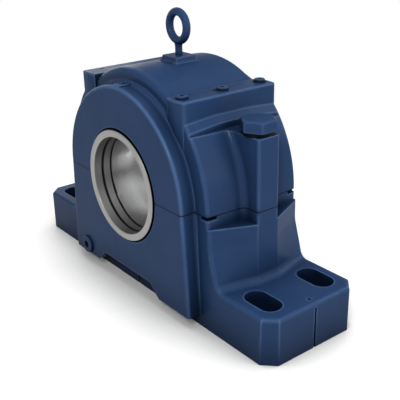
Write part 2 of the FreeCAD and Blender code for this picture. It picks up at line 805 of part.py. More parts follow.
def build_arch(body):
    """Turn the arch and the end walls of the cap."""
    inside = S["root_round"]
    half = [(ARCH_FACE, inside), (ARCH_FACE, S["body_radius"])]
    edge = S["body_edge"]
    turn(body, "arch", mirrored(half), {1: edge, 2: edge})
    root = S["arch_root_round"]
    seat = ARCH_FACE - S["overlap"]
    half = [
        (FACE, 0),
        (FACE, S["plate_radius"]),
        (seat, S["plate_radius"]),
        (seat, S["plate_radius"] + root + root / 2),
    ]
    edge = S["plate_edge"]
    turn(body, "end_walls", mirrored(half), {1: edge, 2: root, 5: root, 6: edge})


def bevelled(body, name, root, top, bevel, draw):
    """Raise a block from a level to its top, with a bevelled rim."""
    sketches = []
    for part, level, inset in (
        ("foot", root, size(0)),
        ("rim", top - bevel, size(0)),
        ("top", top, bevel),
    ):
        sketch = new_sketch(body, f"{name}_{part}", "XY_Plane", level)
        points, rounds = draw(inset)
        add_outline(sketch, points, rounds)
        sketches.append(sketch)
    loft(body, name, sketches)


def build_blocks(body):
    """Raise the two flat-topped blocks on the shoulders."""
    for side in (-1, 1):
        inner = side * S["block_inner"]
        middle = side * (S["block_inner"] + S["block_reach"]) / 2

        def draw(inset):
            outer = side * (S["block_reach"] - inset)
            face = S["block_depth"] / 2 - inset
            end = face - S["block_crown"]
            corner = S["block_corner"] - inset
            points = [
                (inner, -end),
                (middle, -face),
                (outer, -end),
                (outer, end),
                (middle, face),
                (inner, end),
            ]
            return points, {1: S["block_bend"], 2: corner, 3: corner, 4: S["block_bend"]}

        name = "block_left" if side < 0 else "block_right"
        bevelled(body, name, FLOOR + S["block_root"], BLOCK_TOP, S["block_edge"], draw)


def build_pillars(body):
    """Pad the bolt pillars and cut the bolt seats into the shoulders."""
    half = S["pillar_width"] / 2
    inner = S["seat_start"]
    reach = S["pillar_reach"]
    for side in (-1, 1):
        name = "left" if side < 0 else "right"
        sketch = new_sketch(body, f"pillar_plan_{name}", "XY_Plane")
        corner = S["pillar_edge"]
        add_outline(sketch, side_rectangle(side, inner, reach, half), {1: corner, 2: corner})
        pad(body, f"pillar_{name}", sketch, BOLT_SEAT)
    sketch = new_sketch(body, "seat_plan", "XY_Plane", BOLT_SEAT)
    for side in (-1, 1):
        add_outline(sketch, side_rectangle(side, inner, reach, BODY_FACE + S["plate_edge"]))
    pocket(body, "bolt_seats", sketch, S["body_radius"], up=True)

    def at_pillar_root(edge):
        middle = edge.CenterOfMass
        beside = abs(abs(middle.y) - half.value) < 0.01
        rises = edge.BoundBox.ZLength > half.value
        return beside and rises and inner.value < abs(middle.x) < S["waist_radius"].value

    dress(body, "Fillet", "pillar_roots", S["pillar_root_round"], at_pillar_root)


def build_bosses(body):
    """Raise the small boss over each end wall."""
    root = ARCH_FACE - S["boss_half"]
    bottom = S["plate_radius"] - S["boss_half"] - S["boss_half"]
    for side in (-1, 1):

        def draw(inset):
            half = S["boss_half"] - inset
            face = side * (FACE - S["boss_inset"] - inset)
            corner = S["boss_edge"]
            points = [(-half, side * root), (-half, face), (half, face), (half, side * root)]
            return points, {1: corner, 2: corner}

        name = "boss_front" if side < 0 else "boss_rear"
        bevelled(body, name, bottom, S["boss_top"] + FLOOR, S["boss_bevel"], draw)


def build_eye_pad(body):
    """Raise the square pad under the lifting eye, with a spreading foot."""
    sketches = []
    root = FLOOR + S["pad_root"]
    for name, level, half in (
        ("low", root, S["pad_half"] + S["pad_spread"]),
        ("skirt", S["body_radius"] + S["pad_spread"] / 2, S["pad_half"] + S["pad_spread"] / 4),
        ("high", PAD_TOP, S["pad_half"]),
    ):
        sketch = new_sketch(body, f"eye_pad_plan_{name}", "XY_Plane", level)
        add_outline(sketch, rectangle(half, S["eye_offset"] - half, S["eye_offset"] + half))
        sketches.append(sketch)
    loft(body, "eye_pad", sketches)


def drill_cap(body):
    """Drill the cap: bolts, pins, plugs and their ducts, lifting eye and drill marks."""
    hole = S["bolt_diameter"] / 2 + S["bolt_clearance"]
    drill(body, "bolt_holes", bolt_spots(), hole, BOLT_SEAT, BOLT_SEAT)
    pin = S["pin_diameter"] / 2 + S["thread_clearance"]
    depth = S["pin_length"] / 2 + S["plug_bevel"]
    drill(body, "pin_holes", pin_spots(), pin, size(0), depth, up=True)
    plugs = [(S["plug_offset_x"], row * S["plug_pitch"]) for row in (-1, 0, 1)]
    thread = S["plug_thread"] / 2 + S["thread_clearance"]
    depth = S["plug_length"] + S["hole_end_gap"]
    drill(body, "plug_threads", plugs, thread, BLOCK_TOP, depth)
    drill(body, "ducts", plugs, S["duct_diameter"] / 2, BLOCK_TOP, S["plug_offset_x"])
    thread = S["eye_shank"] / 2 + S["thread_clearance"]
    depth = S["eye_thread"] + S["thread_clearance"] + S["plug_bevel"]
    drill(body, "eye_thread_hole", [(0, S["eye_offset"])], thread, PAD_TOP, depth)
    step = S["block_dimple_step"]
    marks = [
        (S["block_reach"] - 2 * step, -step),
        (step - S["block_reach"], -S["waist_half"] - 2 * step),
    ]
    drill(body, "block_dimples", marks, S["dimple_radius"], BLOCK_TOP, S["dimple_depth"])
    marks = [(0, side * S["boss_dimple_from_middle"]) for side in (-1, 1)]
    top = S["boss_top"] + FLOOR
    drill(body, "boss_dimples", marks, S["dimple_radius"], top, S["dimple_depth"])


def build_cap():
    """Build the upper half of the casting."""
    body = new_body("housing_cap")
    build_drum(body)
    build_arch(body)
    build_blocks(body)
    sketch = new_sketch(body, "split_plan", "XY_Plane")
    add_outline(sketch, rectangle(S["pillar_reach"], -FACE - S["plate_edge"], FACE + S["plate_edge"]))
    pocket(body, "below_split", sketch, S["pillar_reach"])
    build_pillars(body)
    build_bosses(body)
    build_eye_pad(body)
    cut_chamber(body)
    drill_cap(body)
    return body


def build_cap_bolt(label, side):
    """Build a hexagon bolt, standing on the upper face of its washer."""
    body = new_body(label)
    place(body, x=side * S["bolt_offset"], z=S["seat_height"] + S["washer_thickness"])
    sketch = new_sketch(body, "head_plan", "XY_Plane")
    add_outline(sketch, hexagon(S["bolt_head"]))
    pad(body, "head", sketch, S["bolt_head_height"])
    flat = S["bolt_head"] / 2
    top = S["bolt_head_height"]
    bevel = S["bolt_bevel"]
    spin_out(
        body,
        "head_bevel",
        [
            (flat - bevel, top),
            (flat + 5 * bevel, top - 3 * bevel),
            (flat + 5 * bevel, top + bevel),
            (flat - bevel, top + bevel),
        ],
    )
    shank = S["bolt_diameter"] / 2
    tip = -S["bolt_length"]
    sink = bevel
    spin(
        body,
        "shank",
        [(0, tip), (shank - bevel, tip), (shank, tip + bevel), (shank, sink), (0, sink)],
    )


def build_cap_washer(label, side):
    """Build the washer under a cap bolt."""
    body = new_body(label)
    place(body, x=side * S["bolt_offset"], z=S["seat_height"])
    outer = S["washer_diameter"] / 2
    inner = S["bolt_diameter"] / 2 + S["thread_clearance"]
    bevel = S["plug_bevel"] / 2
    top = S["washer_thickness"]
    points = [(inner, 0), (outer, 0), (outer, top - bevel), (outer - bevel, top), (inner, top)]
    spin(body, "ring", points)


def build_pin(label, side):
    """Build a dowel pin across the split."""
    body = new_body(label)
    place(body, x=side * S["pin_offset_x"], y=side * S["pin_offset_y"])
    radius = S["pin_diameter"] / 2
    half = S["pin_length"] / 2
    bevel = S["plug_bevel"]
    points = [
        (0, -half),
        (radius - bevel, -half),
        (radius, bevel - half),
        (radius, half - bevel),
        (radius - bevel, half),
        (0, half),
    ]
    spin(body, "pin", points)


def build_eye_bolt():
    """Build the lifting eye about the middle of its ring."""
    body = new_body("eye_bolt")
    place(body, y=S["eye_offset"], z=S["eye_height"])
    ring = (S["eye_inside"] + S["eye_outside"]) / 4
    section = (S["eye_outside"] - S["eye_inside"]) / 4
    sketch = new_sketch(body, "ring_section", "YZ_Plane")
    add_circle(sketch, 0, ring, section)
    feature = body.newObject("PartDesign::Revolution", "ring")
    feature.Profile = sketch
    feature.ReferenceAxis = (sketch, ["H_Axis"])
    finish(feature)
    shank = S["eye_shank"] / 2
    foot = S["pad_top"] - S["eye_height"] - S["eye_thread"]
    neck = -S["eye_outside"] / 2
    flare = S["eye_flare"]
    points = [
        (0, foot),
        (shank - S["plug_bevel"], foot),
        (shank, foot + S["plug_bevel"]),
        (shank, neck - flare),
        (shank + flare / 2, neck + flare),
        (0, neck + flare),
    ]
    spin(body, "shank", points, {3: S["eye_shank"]})


def build_grease_plug(label, row):
    """Build a screw plug of the cap, standing on its flat pad."""
    body = new_body(label)
    place(body, x=S["plug_offset_x"], y=row * S["plug_pitch"], z=S["block_top"])
    thread = S["plug_thread"] / 2
    seal = S["plug_seal_height"]
    top = seal + S["plug_head"]
    head = S["plug_radius"]
    bevel = S["plug_bevel"]
    points = [
        (0, -S["plug_length"]),
        (thread - bevel, -S["plug_length"]),
        (thread, bevel - S["plug_length"]),
        (thread, seal),
        (head, seal),
        (head, top - bevel),
        (head - bevel, top),
        (0, top),
    ]
    spin(body, "plug", points)
    sketch = new_sketch(body, "socket_plan", "XY_Plane", top)
    add_outline(sketch, hexagon(S["plug_socket"]))
    pocket(body, "socket", sketch, S["plug_socket_depth"])


def build_plug_seals():
    """Build the three sealing rings under the cap plugs."""
    body = new_body("plug_seals")
    place(body, x=S["plug_offset_x"], z=S["block_top"])
    sketch = new_sketch(body, "rings_plan", "XY_Plane")
    for row in (-1, 0, 1):
        add_circle(sketch, 0, row * S["plug_pitch"], S["plug_seal_radius"])
        inner = S["plug_thread"] / 2 + S["thread_clearance"]
        add_circle(sketch, 0, row * S["plug_pitch"], inner)
    pad(body, "rings", sketch, S["plug_seal_height"])


def build_drain_plug():
    """Build the drain plug in the front wall of the base."""
    body = new_body("drain_plug")
    place(body, x=-S["drain_offset"], y=-FACE, z=S["drain_height"])
    head = S["drain_radius"]
    thick = S["drain_head"]
    thread = S["drain_thread"] / 2
    bevel = S["plug_bevel"]
    points = [
        (-thick, 0),
        (-thick, head - bevel),
        (bevel - thick, head),
        (0, head),
        (0, thread),
        (S["drain_length"] - bevel, thread),
        (S["drain_length"], thread - bevel),
        (S["drain_length"], 0),
    ]
    turn(body, "plug", points)
    sketch = new_sketch(body, "socket_plan", "XZ_Plane", thick)
    add_outline(sketch, hexagon(S["drain_socket"]))
    pocket(body, "socket", sketch, S["drain_socket_depth"])


def build_seal_ring(label, side):
    """Build a labyrinth ring with its fin and the groove for its cord."""
    body = new_body(label)
    bore = SHAFT_RADIUS + S["seal_bore_clearance"]
    outer = S["seal_radius"]
    bevel = S["seal_bevel"]
    front = S["seal_front"]
    back = front - S["seal_length"]
    groove = (S["cord_section"] / 2) + S["cord_clearance"]
    floor = SHAFT_RADIUS + S["cord_section"] + S["cord_clearance"] + S["cord_clearance"]
    cord = S["cord_from_middle"]
    points = [
        (back, bore),
        (cord - groove, bore),
        (cord - groove, floor),
        (cord + groove, floor),
        (cord + groove, bore),
        (front - bevel, bore),
        (front, bore + bevel),
        (front, outer - bevel),
        (front - bevel, outer),
        (FIN_END, outer),
        (FIN_END, S["seal_fin_radius"]),
        (S["seal_fin_start"], S["seal_fin_radius"]),
        (S["seal_fin_start"], outer),
        (back, outer),
    ]
    turn(body, "ring", [(side * along, radius) for along, radius in points])


def build_seal_cord(label, side):
    """Build the cord that holds a labyrinth ring on the shaft."""
    body = new_body(label)
    radius = S["cord_section"] / 2
    middle = SHAFT_RADIUS + radius + S["cord_clearance"]
    sketch = new_sketch(body, "cord_section", "YZ_Plane")
    add_circle(sketch, side * S["cord_from_middle"], middle, radius)
    feature = body.newObject("PartDesign::Revolution", "cord")
    feature.Profile = sketch
    feature.ReferenceAxis = (sketch, ["H_Axis"])
    finish(feature)


def build_locating_ring(label, side):
    """Build a ring that holds the bearing in the middle of its seat."""
    body = new_body(label)
    start = RING_HALF + S["side_gap"]
    end = start + S["locating_width"]
    outer = S["bearing_diameter"] / 2
    inner = S["locating_bore"] / 2
    bevel = S["plug_bevel"]
    points = [
        (start, inner),
        (start, outer - bevel),
        (start + bevel, outer),
        (end - bevel, outer),
        (end, outer - bevel),
        (end, inner),
    ]
    turn(body, "ring", [(side * along, radius) for along, radius in points])


def build_outer_ring():
    """Build the outer bearing ring with its ball-shaped raceway and oil groove."""
    body = new_body("bearing_outer_ring")
    outer = S["bearing_diameter"] / 2
    bevel = S["ring_bevel"]
    width = S["oil_groove_width"] / 2
    half = [
        (RING_HALF, S["chamber_radius"]),
        (RING_HALF, outer - bevel),
        (RING_HALF - bevel, outer),
        (width, outer),
        (width, outer - S["oil_groove_depth"]),
    ]
    turn(body, "ring", mirrored(half))
    before = volume_of(body)
    ball = body.newObject("PartDesign::SubtractiveSphere", "raceway")
    ball.setExpression("Radius", S["raceway_radius"].text)
    finish(ball, False, before)


SINE = sine(S["contact_angle"])
COSINE = cosine(S["contact_angle"])
ROLLER_CENTRE = S["raceway_radius"] - S["roller_clearance"] - S["roller_diameter"] / 2


def roller_point(along, toward_shaft):
    """Return a point of the leaning roller section, from its middle."""
    reach = ROLLER_CENTRE - toward_shaft
    return (reach * SINE + along * COSINE, reach * COSINE - along * SINE)


def roller_side(clearance, end):
    """Return the outline of the roller side that faces the shaft."""
    bend = S["roller_shoulder"]
    return [
        roller_point(-end, S["roller_end_radius"] + clearance),
        roller_point(-bend, S["roller_shoulder_radius"] + clearance),
        roller_point(0, S["roller_diameter"] / 2 + clearance),
        roller_point(bend, S["roller_shoulder_radius"] + clearance),
        roller_point(end, S["roller_end_radius"] + clearance),
    ]


def taper_radius(along):
    """Return the bore radius of the inner ring at a place along the shaft."""
    return S["inner_bore"] / 2 + (along + RING_HALF) / (2 * S["sleeve_taper"])


def build_inner_ring():
    """Build the inner bearing ring with its two raceways and tapered bore."""
    body = new_body("bearing_inner_ring")
    race = roller_side(S["roller_clearance"], S["roller_length"] / 2 + S["guide_clearance"])
    end_along, end_radius = race[-1]
    rise = (S["inner_land"] - end_radius) * SINE / COSINE
    shoulder = end_along + rise
    half = [
        (RING_HALF, S["inner_land"]),
        (shoulder, S["inner_land"]),
    ]
    half = half + list(reversed(race))
    rear = half
    front = [(-along, radius) for along, radius in reversed(half)]
    bore = [(-RING_HALF, taper_radius(-RING_HALF)), (RING_HALF, taper_radius(RING_HALF))]
    turn(body, "ring", rear + front + bore)


def roller_section(body, name, side, clearance):
    """Sketch half the section of one roller with its own axis."""
    end = S["roller_length"] / 2 + clearance
    outline = roller_side(clearance, end)
    outline = outline + [roller_point(end, size(0)), roller_point(-end, size(0))]
    outline = [(side * along, radius) for along, radius in outline]
    sketch = new_sketch(body, name, "YZ_Plane")
    add_outline(sketch, outline)
    ends = [roller_point(along, size(0)) for along in (-end, end)]
    ends = [(side * along, radius) for along, radius in ends]
    points = [Vector(along.value, radius.value, 0) for along, radius in ends]
    axis = sketch.addGeometry(Part.LineSegment(*points), True)
    for number, (along, radius) in enumerate(ends, start=1):
        tie(sketch, "DistanceX", -1, 1, axis, number, along)
        tie(sketch, "DistanceY", -1, 1, axis, number, radius)
    return sketch


def repeat_round(body, name, feature, count):
    """Repeat a feature evenly round the shaft."""
    pattern = body.newObject("PartDesign::PolarPattern", name)
    pattern.Originals = [feature]
    axis = [item for item in body.Origin.OriginFeatures if item.Role == "Y_Axis"][0]
    pattern.Axis = (axis, [""])
    pattern.Angle = 360
    pattern.setExpression("Occurrences", count.text)
    body.Tip = pattern
    return finish(pattern)


def build_rollers(label, side):
    """Build one row of barrel rollers."""
    body = new_body(label)
    sketch = roller_section(body, "roller_outline", side, size(0))
    roller = body.newObject("PartDesign::Revolution", "roller")
    roller.Profile = sketch
    roller.ReferenceAxis = (sketch, ["Axis0"])
    finish(roller)
    repeat_round(body, "row", roller, S["roller_count"])


def build_cage(label, side):
    """Build the cage of one row of rollers."""
    body = new_body(label)
    middle = ROLLER_CENTRE * COSINE
    wall = S["cage_half_wall"]
    start = side * S["cage_inner_end"]
    end = side * S["cage_outer_end"]
    points = [(start, middle - wall), (end, middle - wall), (end, middle + wall), (start, middle + wall)]
    turn(body, "ring", points)
    sketch = roller_section(body, "pocket_outline", side, S["cage_clearance"])
    before = volume_of(body)
    cut = body.newObject("PartDesign::Groove", "pocket")
    cut.Profile = sketch
    cut.ReferenceAxis = (sketch, ["Axis0"])
    finish(cut, False, before)
    repeat_round(body, "pockets", cut, S["roller_count"])


def build_guide_ring():
    """Build the ring between the two rows of rollers."""
    body = new_body("guide_ring")
    half = S["guide_width"] / 2
    inner_end = roller_side(S["roller_clearance"], S["roller_length"] / 2 + S["guide_clearance"])[0]
    bore = inner_end[1] + S["guide_clearance"]
    points = [(-half, bore), (half, bore), (half, S["guide_radius"]), (-half, S["guide_radius"])]
    turn(body, "ring", points)


def build_sleeve():
    """Build the slit, tapered sleeve between the shaft and the inner ring."""
    body = new_body("adapter_sleeve")
    bore = SHAFT_RADIUS
    front = -S["sleeve_front"]
    rear = S["sleeve_rear"]
    bevel = S["plug_bevel"]
    fit = S["sleeve_clearance"]
    thread = S["thread_radius"]
    points = [
        (front, bore),
        (rear, bore),
        (rear, taper_radius(rear) - fit),
        (-RING_HALF, taper_radius(-RING_HALF) - fit),
        (-RING_HALF, thread),
        (front + bevel, thread),
        (front, thread - bevel),
    ]
    turn(body, "sleeve", points)
    sketch = new_sketch(body, "slit_outline", "XZ_Plane")
    half = S["sleeve_slit"] / 2
    wide = S["chamber_radius"]
    inner = bore / 2
    add_outline(sketch, [(inner, -half), (wide, -half), (wide, half), (inner, half)])
    pocket(body, "slit", sketch, S["sleeve_front"] * 2 + bevel, both=True)


def build_lock_washer():
    """Build the washer that locks the nut, with its tab in the slit of the sleeve."""
    body = new_body("lock_washer")
    back = -RING_HALF
    front = back - S["lock_washer"]
    inner = S["thread_radius"] + S["washer_gap"]
    outer = S["lock_washer_radius"]
    turn(body, "ring", [(front, inner), (back, inner), (back, outer), (front, outer)])
    sketch = new_sketch(body, "tab_outline", "XZ_Plane", -back)
    half = S["lock_tab"] / 2
    start = S["tab_end"]
    end = inner + S["lock_tab"]
    add_outline(sketch, [(start, -half), (end, -half), (end, half), (start, half)])
    pad(body, "tab", sketch, S["lock_washer"])


def build_lock_nut():
    """Build the slotted nut on the thread of the sleeve."""
    body = new_body("lock_nut")
    back = -RING_HALF - S["lock_washer"]
    front = back - S["nut_width"]
    outer = S["nut_diameter"] / 2
    inner = S["thread_radius"] + S["thread_clearance"]
    bevel = S["mouth_bevel"]
    points = [
        (back, inner),
        (back, outer - bevel),
        (back - bevel, outer),
        (front + bevel, outer),
        (front, outer - bevel),
        (front, inner),
    ]
    turn(body, "ring", points)
    sketch = new_sketch(body, "slot_outline", "XZ_Plane", -back)
    half = S["nut_slot_width"] / 2
    low = outer - S["nut_slot_depth"]
    high = outer + S["nut_slot_depth"]
    add_outline(sketch, [(-half, low), (half, low), (half, high), (-half, high)])
    before = volume_of(body)
    slot = body.newObject("PartDesign::Pocket", "slot")
    slot.Profile = sketch
    slot.Reversed = True
    slot.setExpression("Length", S["nut_width"].text)
    finish(slot, False, before)
    repeat_round(body, "slots", slot, size(4))


def build_bearing():
    """Build everything inside the housing."""
    for side in (-1, 1):
        name = "front" if side < 0 else "rear"
        build_seal_ring(f"seal_ring_{name}", side)
        build_seal_cord(f"seal_cord_{name}", side)
        build_locating_ring(f"locating_ring_{name}", side)
        build_rollers(f"rollers_{name}", side)
        build_cage(f"cage_{name}", side)
    build_outer_ring()
    build_inner_ring()
    build_guide_ring()
    build_sleeve()
    build_lock_washer()
    build_lock_nut()


def build_fastenings():
    """Build bolts, washers, pins, plugs and the lifting eye."""
    for side in (-1, 1):
        name = "left" if side < 0 else "right"
        build_cap_bolt(f"cap_bolt_{name}", side)
        build_cap_washer(f"cap_washer_{name}", side)
        build_pin(f"dowel_pin_{name}", side)
    for row, name in ((-1, "front"), (0, "middle"), (1, "rear")):
        build_grease_plug(f"grease_plug_{name}", row)
    build_plug_seals()
    build_eye_bolt()
    build_drain_plug()


def write_parts():
    """Check every feature and write one file for each sub-part."""
    os.makedirs("parts", exist_ok=True)
    for item in document.Objects:
        if "Invalid" in item.State or "Error" in item.State:
            raise RuntimeError(f"{item.Name} is not sound")
        if item.TypeId != "PartDesign::Body":
            continue
        if item.Shape.isNull() or not item.Shape.isValid():
            raise RuntimeError(f"{item.Label} is not a valid solid")
        item.Shape.exportStep(f"parts/{item.Label}.step")


build_base()
build_cap()
build_fastenings()
build_bearing()
document.recompute()
write_parts()
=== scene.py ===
"""Split plummer block: finishes for its castings, fastenings and bearing, and its studio."""

import math

import bpy
from mathutils import Matrix, Vector


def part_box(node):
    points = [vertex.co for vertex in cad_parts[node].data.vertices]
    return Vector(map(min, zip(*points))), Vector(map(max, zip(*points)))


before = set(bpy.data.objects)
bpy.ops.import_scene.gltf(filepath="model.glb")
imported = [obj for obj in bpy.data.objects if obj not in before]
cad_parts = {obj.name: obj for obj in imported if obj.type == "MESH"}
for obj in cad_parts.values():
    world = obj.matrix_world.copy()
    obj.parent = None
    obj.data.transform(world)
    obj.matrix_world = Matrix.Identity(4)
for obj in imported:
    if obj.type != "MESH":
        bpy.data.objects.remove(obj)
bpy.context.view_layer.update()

bl_info = {
    "name": "Split Plummer Block",
    "version": (1, 0, 0),
    "blender": (4, 5, 0),
    "location": "View3D > Sidebar > Plummer Block",
    "description": "Finishes a split plummer block and sets up its studio",
    "category": "Object",
}

SPLIT_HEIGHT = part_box("housing_base")[1].z

# Rounded rim of both end walls: its radius about the shaft, its distance from the middle, how much
# wider the wall grows for each unit below the split, and how the painted highlight on it fades.
RIM_RADIUS = 0.150
RIM_PLACE = 0.105
WALL_SPREAD = 0.0635
RIM_CLEAR = 0.0012
RIM_FADED = 0.0034
RIM_HIGHLIGHT_SHARE = 0.42
RIM_LOW_HIGHLIGHT_SHARE = 0.35
RIM_LOW_REACH = 0.06

# Labyrinth rings: where the painted shade on their outer side starts, the groove of the cord in
# their bore, and the width over which each of the two turns black with painted shade.
SEAL_RIM = 0.0858
SEAL_STEP = 0.0004
CORD_PLACE = 0.0932
CORD_HALF = 0.0021
CORD_FLOOR = 0.0795
CORD_STEP = 0.0003

# Mouth of the sleeve from the middle, and the painted shade that darkens the sleeve behind it.
MOUTH_PLACE = 0.077
MOUTH_SHADE_LENGTH = 0.034
MOUTH_SHADE_SHARE = 0.72

# Fixed shades.
# Painted shade laid into the recesses of the enamel.
PAINTED_RECESS_SHADE = (0.0035, 0.009, 0.026)
SPLIT_SHADE = (0.004, 0.006, 0.01)
BRIGHT_EDGE = (0.85, 0.85, 0.86)
WHITE = (1.0, 1.0, 1.0, 1.0)

# Shares of open sky between which a place of the casting, or of the floor, goes from dark to light.
RECESS_RANGE = (0.34, 0.93)
FLOOR_RANGE = (0.35, 0.93)

# Sizes of the marks in the enamel: clouds, lumps of the sand, specks, swells, gloss and rubbing.
CLOUD_SIZE = 0.07
LUMP_SIZE = 0.006
SPECK_SIZE = 0.0011
SWELL_SIZE = 0.03
GLOSS_SIZE = 0.02
RUB_SIZE = 0.012

# The part of a noise that is stretched over the whole range.
NOISE_RANGE = (0.3, 0.7)

# Floor: how far it lies under the block, its glow in the open, and where it fades to plain white.
FLOOR_DROP = 0.0005
FLOOR_GLOW = 0.8
FLOOR_FADE = (0.45, 0.9)

# Sines of the heights at which the mirrored backdrop ends and the panel overhead starts.
BACKDROP_BAND = (0.02, 0.35)
PANEL_BAND = (0.6, 0.78)

# Lamps: name of the setting with its power, place, width and height. All point at one spot.
LAMPS = (
    ("top_lamp", (0.45, -0.55, 1.6), 1.6, 1.2),
    ("key_lamp", (0.88, -0.97, 1.12), 0.36, 0.36),
    ("side_lamp", (1.7, 0.5, 0.9), 0.9, 1.2),
    ("front_lamp", (-0.7, -1.7, 0.8), 1.2, 1.0),
    ("rear_lamp", (0.7, 1.7, 1.2), 1.4, 1.2),
    ("left_lamp", (-1.7, 0.5, 0.8), 0.9, 1.2),
)
LAMP_TARGET = (0.0, 0.0, 0.2)


class PaintSettings(bpy.types.PropertyGroup):
    """Enamel on the castings and their fastenings."""

    colour: bpy.props.FloatVectorProperty(
        name="Enamel",
        description="Colour of the enamel",
        subtype="COLOR",
        size=3,
        min=0.0,
        max=1.0,
        default=(0.025, 0.06, 0.152),
    )
    shade: bpy.props.FloatVectorProperty(
        name="Thin enamel",
        description="Colour where the enamel lies thin",
        subtype="COLOR",
        size=3,
        min=0.0,
        max=1.0,
        default=(0.022, 0.054, 0.138),
    )
    # Colour of the painted highlight along edges and round the rims of the end walls; along edges
    # it comes in patches, like wear.
    edge: bpy.props.FloatVectorProperty(
        name="Worn edge",
        description="Colour along rubbed edges",
        subtype="COLOR",
        size=3,
        min=0.0,
        max=1.0,
        default=(0.105, 0.195, 0.4),
    )
    roughness: bpy.props.FloatProperty(
        name="Roughness",
        description="Roughness of the enamel",
        subtype="FACTOR",
        min=0.0,
        max=1.0,
        default=0.36,
    )
    lacquer: bpy.props.FloatProperty(
        name="Lacquer",
        description="Weight of the clear coat over the enamel",
        subtype="FACTOR",
        min=0.0,
        max=1.0,
        default=0.11,
    )
    lacquer_roughness: bpy.props.FloatProperty(
        name="Lacquer roughness",
        description="Roughness of the clear coat",
        subtype="FACTOR",
        min=0.0,
        max=1.0,
        default=0.2,
    )
    # Reach of the painted shade laid into recesses.
    painted_shade_reach: bpy.props.FloatProperty(
        name="Recess reach",
        description="Width of the recesses in which the enamel lies dark",
        subtype="DISTANCE",
        unit="LENGTH",
        min=0.001,
        default=0.08,
    )
    grain: bpy.props.FloatProperty(
        name="Casting grain",
        description="Height of the sand-cast grain under the enamel",
        subtype="DISTANCE",
        unit="LENGTH",
        min=0.0,
        default=0.00016,
    )
    edge_radius: bpy.props.FloatProperty(
        name="Edge radius",
        description="Radius over which small edges catch the light",
        subtype="DISTANCE",
        unit="LENGTH",
        min=0.0,
        default=0.0022,
    )
    split_line: bpy.props.FloatProperty(
        name="Split line",
        description="Width of the dark line between base and cap",
        subtype="DISTANCE",
        unit="LENGTH",
        min=0.0,
        default=0.0013,
    )


class SteelSettings(bpy.types.PropertyGroup):
    """Bare and blackened steel, brass and rubber inside and around the housing."""

    steel: bpy.props.FloatVectorProperty(
        name="Turned steel",
        description="Colour of turned steel",
        subtype="COLOR",
        size=3,
        min=0.0,
        max=1.0,
        default=(0.34, 0.34, 0.335),
    )
    bearing: bpy.props.FloatVectorProperty(
        name="Bearing steel",
        description="Colour of ground bearing steel",
        subtype="COLOR",
        size=3,
        min=0.0,
        max=1.0,
        default=(0.95, 0.952, 0.955),
    )
    dark: bpy.props.FloatVectorProperty(
        name="Blackened steel",
        description="Colour of blackened steel",
        subtype="COLOR",
        size=3,
        min=0.0,
        max=1.0,
        default=(0.009, 0.0095, 0.0105),
    )
    brass: bpy.props.FloatVectorProperty(
        name="Cage brass",
        description="Colour of the machined brass cages",
        subtype="COLOR",
        size=3,
        min=0.0,
        max=1.0,
        default=(0.62, 0.44, 0.17),
    )
    rubber: bpy.props.FloatVectorProperty(
        name="Seal rubber",
        description="Colour of cords and sealing rings",
        subtype="COLOR",
        size=3,
        min=0.0,
        max=1.0,
        default=(0.004, 0.004, 0.004),
    )
    turning: bpy.props.FloatProperty(
        name="Turning marks",
        description="Height of the turning marks",
        subtype="DISTANCE",
        unit="LENGTH",
        min=0.0,
        default=0.00002,
    )
    pitch: bpy.props.FloatProperty(
        name="Mark pitch",
        description="Distance between turning marks",
        subtype="DISTANCE",
        unit="LENGTH",
        min=0.00005,
        default=0.0006,
    )


